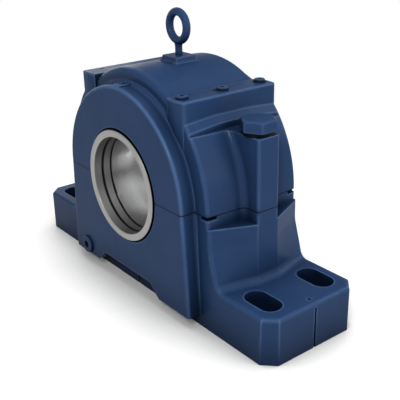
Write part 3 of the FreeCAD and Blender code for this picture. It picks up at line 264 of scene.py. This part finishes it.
class StudioSettings(bpy.types.PropertyGroup):
    """Camera, lamps, floor and world."""

    camera_place: bpy.props.FloatVectorProperty(
        name="Camera",
        description="Place of the camera",
        subtype="XYZ",
        unit="LENGTH",
        size=3,
        default=(0.86310, -0.61904, 0.57127),
    )
    azimuth: bpy.props.FloatProperty(
        name="Azimuth",
        description="Turn of the camera round the block",
        subtype="ANGLE",
        unit="ROTATION",
        default=math.radians(52.5127),
    )
    elevation: bpy.props.FloatProperty(
        name="Elevation",
        description="Height of the camera above the horizon",
        subtype="ANGLE",
        unit="ROTATION",
        default=math.radians(22.9785),
    )
    roll: bpy.props.FloatProperty(
        name="Roll",
        description="Roll of the camera about its view",
        subtype="ANGLE",
        unit="ROTATION",
        default=math.radians(-1.4225),
    )
    lens: bpy.props.FloatProperty(
        name="Lens",
        description="Focal length for a sensor 36 mm wide",
        min=1.0,
        default=64.1046,
    )
    floor_size: bpy.props.FloatProperty(
        name="Floor",
        description="Width of the floor",
        subtype="DISTANCE",
        unit="LENGTH",
        min=1.0,
        default=14.0,
    )
    floor_colour: bpy.props.FloatVectorProperty(
        name="Floor colour",
        description="Colour of the paper under the block",
        subtype="COLOR",
        size=3,
        min=0.0,
        max=1.0,
        default=(0.45, 0.45, 0.45),
    )
    shadow_reach: bpy.props.FloatProperty(
        name="Shadow reach",
        description="Distance over which the floor darkens towards the block",
        subtype="DISTANCE",
        unit="LENGTH",
        min=0.01,
        default=0.17,
    )
    shadow_depth: bpy.props.FloatProperty(
        name="Shadow depth",
        description="White that is left of the floor where it meets the block",
        subtype="FACTOR",
        min=0.0,
        max=1.0,
        default=0.12,
    )
    world_light: bpy.props.FloatProperty(
        name="World light",
        description="Strength of the light from all round",
        min=0.0,
        default=0.21,
    )
    ceiling: bpy.props.FloatProperty(
        name="Ceiling",
        description="Brightness between the backdrop and the panel overhead, in reflections",
        subtype="FACTOR",
        min=0.0,
        max=1.0,
        default=0.2,
    )
    top_lamp: bpy.props.FloatProperty(
        name="Top lamp",
        description="Power of the lamp overhead",
        subtype="POWER",
        unit="POWER",
        min=0.0,
        default=4.5,
    )
    key_lamp: bpy.props.FloatProperty(
        name="Key lamp",
        description="Power of the small lamp beside the camera",
        subtype="POWER",
        unit="POWER",
        min=0.0,
        default=12.0,
    )
    side_lamp: bpy.props.FloatProperty(
        name="Side lamp",
        description="Power of the lamp on the right",
        subtype="POWER",
        unit="POWER",
        min=0.0,
        default=7.0,
    )
    front_lamp: bpy.props.FloatProperty(
        name="Front lamp",
        description="Power of the lamp before the front face",
        subtype="POWER",
        unit="POWER",
        min=0.0,
        default=0.5,
    )
    rear_lamp: bpy.props.FloatProperty(
        name="Rear lamp",
        description="Power of the lamp behind the rear face",
        subtype="POWER",
        unit="POWER",
        min=0.0,
        default=14.0,
    )
    left_lamp: bpy.props.FloatProperty(
        name="Left lamp",
        description="Power of the lamp on the left side",
        subtype="POWER",
        unit="POWER",
        min=0.0,
        default=5.0,
    )


class NodeSheet:
    """The node tree of one finish, with its surface shader at the end."""

    def __init__(self, name, roughness, metallic=0.0, specular=0.5):
        self.material = bpy.data.materials.new(name)
        self.material.use_nodes = True
        self.tree = self.material.node_tree
        self.tree.nodes.clear()
        self.surface = self.node("ShaderNodeBsdfPrincipled")
        output = self.node("ShaderNodeOutputMaterial")
        self.join(self.surface.outputs["BSDF"], output.inputs["Surface"])
        self.surface.inputs["Roughness"].default_value = roughness
        self.surface.inputs["Metallic"].default_value = metallic
        self.surface.inputs["Specular IOR Level"].default_value = specular
        self.place = self.node("ShaderNodeTexCoord").outputs["Object"]

    def node(self, kind):
        """Add a node."""
        return self.tree.nodes.new(kind)

    def join(self, source, target):
        """Link an output to an input, or write a plain value into it."""
        if isinstance(source, bpy.types.NodeSocket):
            self.tree.links.new(source, target)
        else:
            target.default_value = source

    def math(self, operation, first, second=0.0, clamp=False):
        """Return the result of one sum."""
        node = self.node("ShaderNodeMath")
        node.operation = operation
        node.use_clamp = clamp
        self.join(first, node.inputs[0])
        self.join(second, node.inputs[1])
        return node.outputs["Value"]

    def vector(self, operation, first, second):
        """Return the result of one vector sum."""
        node = self.node("ShaderNodeVectorMath")
        node.operation = operation
        self.join(first, node.inputs[0])
        self.join(second, node.inputs[1])
        return node.outputs["Vector"]

    def parts(self):
        """Return across, along and above the split, for each point of the piece."""
        parts = self.node("ShaderNodeSeparateXYZ")
        self.join(self.place, parts.inputs["Vector"])
        above = self.math("SUBTRACT", parts.outputs["Z"], SPLIT_HEIGHT)
        return parts.outputs["X"], parts.outputs["Y"], above

    def length(self, first, second):
        """Return the length of two sides at right angles, taken together."""
        squares = self.math(
            "ADD", self.math("MULTIPLY", first, first), self.math("MULTIPLY", second, second)
        )
        return self.math("SQRT", squares)

    def noise(self, size, detail=3.0, place=None):
        """Return a noise whose lumps measure about one size in metres."""
        node = self.node("ShaderNodeTexNoise")
        self.join(place or self.place, node.inputs["Vector"])
        node.inputs["Scale"].default_value = 1.0 / size
        node.inputs["Detail"].default_value = detail
        return node.outputs["Fac"]

    def spread(self, value, low, high, to_low=0.0, to_high=1.0):
        """Return a value stretched from one range to another."""
        node = self.node("ShaderNodeMapRange")
        self.join(value, node.inputs["Value"])
        node.inputs["From Min"].default_value = low
        node.inputs["From Max"].default_value = high
        node.inputs["To Min"].default_value = to_low
        node.inputs["To Max"].default_value = to_high
        return node.outputs["Result"]

    def blend(self, share, first, second):
        """Return a mix of two colours."""
        node = self.node("ShaderNodeMix")
        node.data_type = "RGBA"
        self.join(share, node.inputs["Factor"])
        for colour, socket in ((first, node.inputs[6]), (second, node.inputs[7])):
            linked = isinstance(colour, bpy.types.NodeSocket)
            self.join(colour if linked else (*colour, 1.0), socket)
        return node.outputs[2]

    def rounded(self, radius):
        """Return the normal as it is where edges have a rounding of this radius."""
        node = self.node("ShaderNodeBevel")
        node.samples = 6
        node.inputs["Radius"].default_value = radius
        return node.outputs["Normal"]

    def nearness(self, normal, turned=0.9):
        """Return how near an edge it is, from how far the rounded normal has turned."""
        facing = self.node("ShaderNodeVectorMath")
        facing.operation = "DOT_PRODUCT"
        geometry = self.node("ShaderNodeNewGeometry")
        self.join(normal, facing.inputs[0])
        self.join(geometry.outputs["Normal"], facing.inputs[1])
        return self.spread(facing.outputs["Value"], 1.0, turned)

    def bump(self, height, distance, normal=None):
        """Return a normal roughened by a height."""
        node = self.node("ShaderNodeBump")
        node.inputs["Strength"].default_value = 1.0
        node.inputs["Distance"].default_value = distance
        self.join(height, node.inputs["Height"])
        if normal is not None:
            self.join(normal, node.inputs["Normal"])
        return node.outputs["Normal"]

    def finish(self, colour, roughness, normal):
        """Set the surface."""
        self.join(colour, self.surface.inputs["Base Color"])
        self.join(roughness, self.surface.inputs["Roughness"])
        self.join(normal, self.surface.inputs["Normal"])
        return self.material


def split_line_and_rim_highlight(sheet, paint, colour):
    """Return the colour with a painted highlight on the rim of both end walls and a dark split
    line.
    """
    across, along, above = sheet.parts()
    upper = sheet.math("MAXIMUM", above, 0.0)
    lower = sheet.math("MINIMUM", above, 0.0)
    narrowed = sheet.math("MULTIPLY", lower, WALL_SPREAD)
    radius = sheet.math("ADD", sheet.length(across, upper), narrowed)
    outward = sheet.math("SUBTRACT", radius, RIM_RADIUS)
    forward = sheet.math("SUBTRACT", sheet.math("ABSOLUTE", along), RIM_PLACE)
    apart = sheet.length(outward, forward)
    rim = sheet.spread(apart, RIM_CLEAR, RIM_FADED, RIM_HIGHLIGHT_SHARE, 0.0)
    weaker = sheet.spread(lower, -RIM_LOW_REACH, 0.0, RIM_LOW_HIGHLIGHT_SHARE, 1.0)
    # Painted highlight: the edge colour laid along the rounded rim, weaker below the split.
    colour = sheet.blend(sheet.math("MULTIPLY", rim, weaker), colour, paint.edge)
    from_split = sheet.math("ABSOLUTE", above)
    width = paint.split_line
    line = sheet.spread(from_split, width * 0.35, width * 0.8, 1.0, 0.0)
    return sheet.blend(line, colour, SPLIT_SHADE)


def enamel(name, paint, with_split=False, grain=1.0, edges=0.7):
    """Return blue enamel over cast or forged metal, with painted highlights and patchy wear along
    its edges and painted shade in its recesses.
    """
    sheet = NodeSheet(name, paint.roughness, specular=0.02)
    sheet.surface.inputs["Coat Weight"].default_value = paint.lacquer
    sheet.surface.inputs["Coat Roughness"].default_value = paint.lacquer_roughness
    normal = sheet.rounded(paint.edge_radius)
    near_edge = sheet.nearness(sheet.rounded(paint.edge_radius * 2.0), 0.97)
    clouds = sheet.noise(CLOUD_SIZE, 4.0)
    colour = sheet.blend(sheet.spread(clouds, 0.35, 0.65), paint.shade, paint.colour)
    hidden = sheet.node("ShaderNodeAmbientOcclusion")
    hidden.samples = 8
    hidden.inputs["Distance"].default_value = paint.painted_shade_reach
    open_share = sheet.spread(hidden.outputs["AO"], *RECESS_RANGE)
    patchy = sheet.spread(sheet.noise(RUB_SIZE), *NOISE_RANGE, 0.75 * edges, edges)
    # Painted highlight, in patches like wear: the edge colour where the rounded normal turns away.
    wear_and_edge_highlight = sheet.math("MULTIPLY", near_edge, patchy, clamp=True)
    wear_and_edge_highlight = sheet.math("MULTIPLY", wear_and_edge_highlight, sheet.spread(open_share, 0.35, 0.7))
    if with_split:
        _across, _along, above = sheet.parts()
        apart = sheet.spread(sheet.math("ABSOLUTE", above), 0.003, 0.006)
        wear_and_edge_highlight = sheet.math("MULTIPLY", wear_and_edge_highlight, apart)
    colour = sheet.blend(wear_and_edge_highlight, colour, paint.edge)
    # Painted shade: the enamel turns dark where little open sky reaches it.
    colour = sheet.blend(open_share, PAINTED_RECESS_SHADE, colour)
    if with_split:
        colour = split_line_and_rim_highlight(sheet, paint, colour)
    lumps = sheet.math("MULTIPLY", sheet.noise(LUMP_SIZE, 2.0), 0.7)
    specks = sheet.math("MULTIPLY", sheet.noise(SPECK_SIZE, 2.0), 0.22)
    swell = sheet.noise(SWELL_SIZE, 1.0)
    height = sheet.math("ADD", sheet.math("ADD", lumps, specks), swell)
    normal = sheet.bump(height, paint.grain * grain, normal)
    gloss = sheet.spread(
        sheet.noise(GLOSS_SIZE), *NOISE_RANGE, paint.roughness - 0.04, paint.roughness + 0.05
    )
    return sheet.finish(colour, gloss, normal)


def seal_ring_shade(sheet, steel, colour, radius, from_middle):
    """Return the colour of a labyrinth ring, with painted shade in black on its outer side and in
    its cord groove.
    """
    rim = sheet.spread(radius, SEAL_RIM, SEAL_RIM + SEAL_STEP)
    # Painted shade in the rubber's black, on the steel of the outer side and of the cord groove.
    colour = sheet.blend(rim, colour, steel.rubber)
    from_cord = sheet.math("ABSOLUTE", sheet.math("SUBTRACT", from_middle, CORD_PLACE))
    groove = sheet.spread(from_cord, CORD_HALF, CORD_HALF + CORD_STEP, 1.0, 0.0)
    inside = sheet.spread(radius, CORD_FLOOR, CORD_FLOOR + CORD_STEP, 1.0, 0.0)
    return sheet.blend(sheet.math("MULTIPLY", groove, inside), colour, steel.rubber)


def turned_metal(name, steel, colour, roughness, marks=1.0, gap_shaded=False, shaded_mouth=False):
    """Return metal turned about the shaft axis, with fine ring marks."""
    sheet = NodeSheet(name, roughness, metallic=1.0)
    sheet.surface.inputs["Anisotropic"].default_value = 0.4
    from_axis = sheet.vector("SUBTRACT", sheet.place, (0.0, 0.0, SPLIT_HEIGHT))
    along_marks = sheet.vector("CROSS_PRODUCT", (0.0, 1.0, 0.0), from_axis)
    facing = sheet.node("ShaderNodeNewGeometry").outputs["Normal"]
    across_marks = sheet.vector("CROSS_PRODUCT", facing, along_marks)
    sheet.join(across_marks, sheet.surface.inputs["Tangent"])
    across, along, above = sheet.parts()
    radius = sheet.length(across, above)
    ring = sheet.node("ShaderNodeCombineXYZ")
    sheet.join(radius, ring.inputs["X"])
    sheet.join(along, ring.inputs["Y"])
    ring = ring.outputs["Vector"]
    normal = sheet.rounded(0.0006)
    near_edge = sheet.nearness(normal)
    fine = sheet.noise(steel.pitch, 2.0, ring)
    broad = sheet.noise(steel.pitch * 9.0, 2.0, ring)
    smear = sheet.noise(0.05, 3.0)
    dull = tuple((1.0 - 0.18 * marks) * part for part in colour)
    share = sheet.spread(sheet.math("ADD", broad, smear), 0.75, 1.25)
    mixed = sheet.blend(share, dull, colour)
    mixed = sheet.blend(sheet.math("MULTIPLY", near_edge, 0.25), mixed, BRIGHT_EDGE)
    from_middle = sheet.math("ABSOLUTE", along)
    if gap_shaded:
        mixed = seal_ring_shade(sheet, steel, mixed, radius, from_middle)
    # Painted shade: the sleeve darkens towards its mouth, so that it looks brighter deeper in.
    if shaded_mouth:
        behind_mouth = sheet.math("SUBTRACT", MOUTH_PLACE, from_middle)
        mouth_shade = sheet.spread(behind_mouth, 0.0, MOUTH_SHADE_LENGTH, MOUTH_SHADE_SHARE, 0.0)
        mixed = sheet.blend(mouth_shade, mixed, tuple(0.3 * part for part in colour))
    normal = sheet.bump(fine, steel.turning * marks, normal)
    gloss = sheet.spread(
        broad, *NOISE_RANGE, roughness - 0.05 * marks, roughness + 0.06 * marks
    )
    return sheet.finish(mixed, gloss, normal)


def plain_metal(name, colour, roughness):
    """Return ground or blackened metal with a fine even grain."""
    sheet = NodeSheet(name, roughness, metallic=1.0)
    normal = sheet.rounded(0.0005)
    near_edge = sheet.nearness(normal)
    fine = sheet.noise(0.0008)
    stain = sheet.spread(sheet.noise(0.015), 0.35, 0.65)
    dull = tuple(0.7 * part for part in colour)
    bright = tuple(min(1.0, 1.8 * part + 0.01) for part in colour)
    mixed = sheet.blend(stain, dull, colour)
    mixed = sheet.blend(sheet.math("MULTIPLY", near_edge, 0.4), mixed, bright)
    normal = sheet.bump(fine, 0.00002, normal)
    gloss = sheet.spread(fine, *NOISE_RANGE, roughness - 0.05, roughness + 0.08)
    return sheet.finish(mixed, gloss, normal)


def black_rubber(name, colour):
    """Return rubber with a fine moulded skin and a little grey bloom."""
    sheet = NodeSheet(name, 0.62, specular=0.15)
    bloom = sheet.spread(sheet.noise(0.008), 0.4, 0.75, 0.0, 0.5)
    grey = tuple(min(1.0, 2.6 * part) for part in colour)
    mixed = sheet.blend(bloom, colour, grey)
    skin = sheet.noise(0.0006, 2.0)
    normal = sheet.bump(skin, 0.00004)
    gloss = sheet.spread(skin, *NOISE_RANGE, 0.55, 0.7)
    return sheet.finish(mixed, gloss, normal)


def coat(material, *names):
    """Give CAD nodes one finish."""
    for name in names:
        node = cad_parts[name]
        node.data.materials.clear()
        node.data.materials.append(material)


def settings_of(context):
    """Return the three groups of settings."""
    scene = context.scene
    return scene.plummer_paint, scene.plummer_steel, scene.plummer_studio


class PLUMMER_OT_castings(bpy.types.Operator):
    """Enamel the base and the cap"""

    bl_idname = "plummer.castings"
    bl_label = "Castings"

    def execute(self, context):
        """Paint both castings."""
        paint, _steel, _studio = settings_of(context)
        material = enamel("casting_enamel", paint, with_split=True)
        coat(material, "housing_base", "housing_cap")
        return {"FINISHED"}


class PLUMMER_OT_fastenings(bpy.types.Operator):
    """Finish bolts, washers, pins, plugs and the lifting eye"""

    bl_idname = "plummer.fastenings"
    bl_label = "Fastenings"

    def execute(self, context):
        """Paint what was painted with the casting, and blacken the rest."""
        paint, steel, _studio = settings_of(context)
        painted = enamel("fastening_enamel", paint, grain=0.35, edges=0.25)
        coat(painted, "cap_bolt_left", "cap_bolt_right", "eye_bolt", "drain_plug")
        coat(painted, "grease_plug_front", "grease_plug_middle", "grease_plug_rear")
        coat(plain_metal("washer_steel", steel.dark, 0.6), "cap_washer_left", "cap_washer_right")
        coat(plain_metal("pin_steel", steel.steel, 0.3), "dowel_pin_left", "dowel_pin_right")
        coat(black_rubber("plug_rubber", steel.rubber), "plug_seals")
        return {"FINISHED"}


class PLUMMER_OT_seals(bpy.types.Operator):
    """Finish the labyrinth rings and their cords"""

    bl_idname = "plummer.seals"
    bl_label = "Seals"

    def execute(self, context):
        """Turn the rings bright and the cords black."""
        _paint, steel, _studio = settings_of(context)
        ring = turned_metal("seal_steel", steel, steel.steel, 0.42, marks=0.3, gap_shaded=True)
        coat(ring, "seal_ring_front", "seal_ring_rear")
        coat(black_rubber("cord_rubber", steel.rubber), "seal_cord_front", "seal_cord_rear")
        return {"FINISHED"}


class PLUMMER_OT_bearing(bpy.types.Operator):
    """Finish the bearing, its sleeve, nut and rings"""

    bl_idname = "plummer.bearing"
    bl_label = "Bearing"

    def execute(self, context):
        """Finish every piece of the bearing."""
        _paint, steel, _studio = settings_of(context)
        ground = turned_metal("bearing_steel", steel, steel.bearing, 0.22, marks=0.4)
        coat(ground, "bearing_outer_ring", "bearing_inner_ring")
        coat(plain_metal("roller_steel", steel.bearing, 0.18), "rollers_front", "rollers_rear")
        coat(turned_metal("cage_brass", steel, steel.brass, 0.35), "cage_front", "cage_rear")
        coat(turned_metal("guide_steel", steel, steel.steel, 0.4), "guide_ring")
        sleeve = turned_metal("sleeve_steel", steel, steel.bearing, 0.25, marks=0.04, shaded_mouth=True)
        coat(sleeve, "adapter_sleeve")
        ring = turned_metal("ring_steel", steel, steel.steel, 0.38)
        coat(ring, "locating_ring_front", "locating_ring_rear")
        coat(turned_metal("nut_steel", steel, steel.dark, 0.42), "lock_nut", "lock_washer")
        return {"FINISHED"}


def seen_share(tree):
    """Return one where the camera or a reflection looks, and nought where light falls."""
    path = tree.nodes.new("ShaderNodeLightPath")
    seen = path.outputs["Is Camera Ray"]
    for ray in ("Is Glossy Ray", "Is Transmission Ray"):
        either = tree.nodes.new("ShaderNodeMath")
        either.operation = "MAXIMUM"
        tree.links.new(seen, either.inputs[0])
        tree.links.new(path.outputs[ray], either.inputs[1])
        seen = either.outputs["Value"]
    return seen


def faded(tree, value, low, high, to_low, to_high):
    """Return a value stretched smoothly from one range to another."""
    fade = tree.nodes.new("ShaderNodeMapRange")
    fade.interpolation_type = "SMOOTHSTEP"
    tree.links.new(value, fade.inputs["Value"])
    limits = {"From Min": low, "From Max": high, "To Min": to_low, "To Max": to_high}
    for name, number in limits.items():
        fade.inputs[name].default_value = number
    return fade.outputs["Result"]


def mixed_shader(tree, share, first, second):
    """Return a mix of two shaders."""
    mix = tree.nodes.new("ShaderNodeMixShader")
    tree.links.new(share, mix.inputs["Fac"])
    tree.links.new(first, mix.inputs[1])
    tree.links.new(second, mix.inputs[2])
    return mix.outputs["Shader"]


def floor_material(studio):
    """Return a floor that looks white and keeps the block's shadow."""
    material = bpy.data.materials.new("studio_floor")
    material.use_nodes = True
    tree = material.node_tree
    tree.nodes.clear()
    paper = tree.nodes.new("ShaderNodeBsdfDiffuse")
    paper.inputs["Color"].default_value = (*studio.floor_colour, 1.0)
    shadow = tree.nodes.new("ShaderNodeAmbientOcclusion")
    shadow.inputs["Distance"].default_value = studio.shadow_reach
    glow = tree.nodes.new("ShaderNodeEmission")
    # Painted shadow: the floor's glow dims where the block takes away its open sky.
    near = faded(tree, shadow.outputs["AO"], *FLOOR_RANGE, studio.shadow_depth, FLOOR_GLOW)
    tree.links.new(near, glow.inputs["Strength"])
    both = tree.nodes.new("ShaderNodeAddShader")
    tree.links.new(paper.outputs["BSDF"], both.inputs[0])
    tree.links.new(glow.outputs["Emission"], both.inputs[1])
    place = tree.nodes.new("ShaderNodeTexCoord")
    length = tree.nodes.new("ShaderNodeVectorMath")
    length.operation = "LENGTH"
    tree.links.new(place.outputs["Object"], length.inputs[0])
    far = faded(tree, length.outputs["Value"], *FLOOR_FADE, 0.0, 1.0)
    white = tree.nodes.new("ShaderNodeEmission")
    sight = mixed_shader(tree, far, both.outputs["Shader"], white.outputs["Emission"])
    surface = mixed_shader(tree, seen_share(tree), paper.outputs["BSDF"], sight)
    output = tree.nodes.new("ShaderNodeOutputMaterial")
    tree.links.new(surface, output.inputs["Surface"])
    return material


def sky(tree, strength=1.0):
    """Add a white background and return it."""
    node = tree.nodes.new("ShaderNodeBackground")
    node.inputs["Color"].default_value = WHITE
    node.inputs["Strength"].default_value = strength
    return node


def light_world(studio):
    """Light the block from all round, and show a white backdrop under a dim ceiling."""
    world = bpy.data.worlds.new("studio_world")
    world.use_nodes = True
    tree = world.node_tree
    tree.nodes.clear()
    soft = sky(tree, studio.world_light)
    white = sky(tree)
    mirrored = sky(tree)
    place = tree.nodes.new("ShaderNodeTexCoord")
    parts = tree.nodes.new("ShaderNodeSeparateXYZ")
    tree.links.new(place.outputs["Generated"], parts.inputs["Vector"])
    backdrop = faded(tree, parts.outputs["Z"], *BACKDROP_BAND, 1.0, studio.ceiling)
    panel = faded(tree, parts.outputs["Z"], *PANEL_BAND, studio.ceiling, 1.0)
    either = tree.nodes.new("ShaderNodeMath")
    either.operation = "MAXIMUM"
    tree.links.new(backdrop, either.inputs[0])
    tree.links.new(panel, either.inputs[1])
    tree.links.new(either.outputs["Value"], mirrored.inputs["Strength"])
    light = mixed_shader(
        tree, seen_share(tree), soft.outputs["Background"], mirrored.outputs["Background"]
    )
    path = tree.nodes.new("ShaderNodeLightPath")
    light = mixed_shader(tree, path.outputs["Is Camera Ray"], light, white.outputs["Background"])
    output = tree.nodes.new("ShaderNodeOutputWorld")
    tree.links.new(light, output.inputs["Surface"])
    bpy.context.scene.world = world


def add_lamp(name, place, width, height, power):
    """Add a soft rectangular lamp that points at the block."""
    data = bpy.data.lights.new(name, "AREA")
    data.shape = "RECTANGLE"
    data.size = width
    data.size_y = height
    data.energy = power
    lamp = bpy.data.objects.new(name, data)
    lamp.location = place
    aim = Vector(LAMP_TARGET) - Vector(place)
    lamp.rotation_euler = aim.to_track_quat("-Z", "Y").to_euler()
    bpy.context.scene.collection.objects.link(lamp)


def add_floor(studio):
    """Add the floor."""
    half = studio.floor_size / 2
    mesh = bpy.data.meshes.new("studio_floor")
    corners = [(-half, -half, 0), (half, -half, 0), (half, half, 0), (-half, half, 0)]
    mesh.from_pydata(corners, [], [(0, 1, 2, 3)])
    mesh.materials.append(floor_material(studio))
    floor = bpy.data.objects.new("studio_floor", mesh)
    floor.location.z = -FLOOR_DROP
    bpy.context.scene.collection.objects.link(floor)


def add_camera(studio):
    """Place the camera where the block was looked at from."""
    turn = studio.azimuth
    rise = studio.elevation
    back = Vector(
        (math.sin(turn) * math.cos(rise), -math.cos(turn) * math.cos(rise), math.sin(rise))
    )
    right = Vector((math.cos(turn), math.sin(turn), 0))
    up = back.cross(right)
    roll = studio.roll
    across = right * math.cos(roll) + up * math.sin(roll)
    upward = up * math.cos(roll) - right * math.sin(roll)
    data = bpy.data.cameras.new("studio_camera")
    data.sensor_width = 36.0
    data.lens = studio.lens
    data.clip_end = 50.0
    camera = bpy.data.objects.new("studio_camera", data)
    facing = Matrix((across, upward, back)).transposed().to_4x4()
    camera.matrix_world = Matrix.Translation(studio.camera_place) @ facing
    bpy.context.scene.collection.objects.link(camera)
    bpy.context.scene.camera = camera


class PLUMMER_OT_studio(bpy.types.Operator):
    """Set up floor, lamps, world and camera"""

    bl_idname = "plummer.studio"
    bl_label = "Studio"

    def execute(self, context):
        """Build the stage."""
        _paint, _steel, studio = settings_of(context)
        context.scene.view_settings.view_transform = "Standard"
        light_world(studio)
        add_floor(studio)
        for name, place, width, height in LAMPS:
            add_lamp(name, place, width, height, getattr(studio, name))
        add_camera(studio)
        return {"FINISHED"}


class PLUMMER_PT_panel(bpy.types.Panel):
    """Lists the steps that dress the block."""

    bl_idname = "PLUMMER_PT_panel"
    bl_label = "Plummer Block"
    bl_space_type = "VIEW_3D"
    bl_region_type = "UI"
    bl_category = "Plummer Block"

    def draw(self, context):
        """Draw one button for each step, and the settings."""
        layout = self.layout
        for step in STEPS:
            layout.operator(step.bl_idname)
        for group in settings_of(context):
            box = layout.box()
            for name in group.__annotations__:
                box.prop(group, name)


STEPS = (
    PLUMMER_OT_castings,
    PLUMMER_OT_fastenings,
    PLUMMER_OT_seals,
    PLUMMER_OT_bearing,
    PLUMMER_OT_studio,
)
GROUPS = (
    ("plummer_paint", PaintSettings),
    ("plummer_steel", SteelSettings),
    ("plummer_studio", StudioSettings),
)


def register():
    """Register settings, steps and panel."""
    for name, group in GROUPS:
        bpy.utils.register_class(group)
        setattr(bpy.types.Scene, name, bpy.props.PointerProperty(type=group))
    for step in STEPS:
        bpy.utils.register_class(step)
    bpy.utils.register_class(PLUMMER_PT_panel)


def unregister():
    """Take settings, steps and panel away again."""
    bpy.utils.unregister_class(PLUMMER_PT_panel)
    for step in reversed(STEPS):
        bpy.utils.unregister_class(step)
    for name, group in reversed(GROUPS):
        delattr(bpy.types.Scene, name)
        bpy.utils.unregister_class(group)


def main():
    """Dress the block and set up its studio."""
    register()
    bpy.ops.plummer.castings()
    bpy.ops.plummer.fastenings()
    bpy.ops.plummer.seals()
    bpy.ops.plummer.bearing()
    bpy.ops.plummer.studio()


if __name__ == "__main__":
    main()
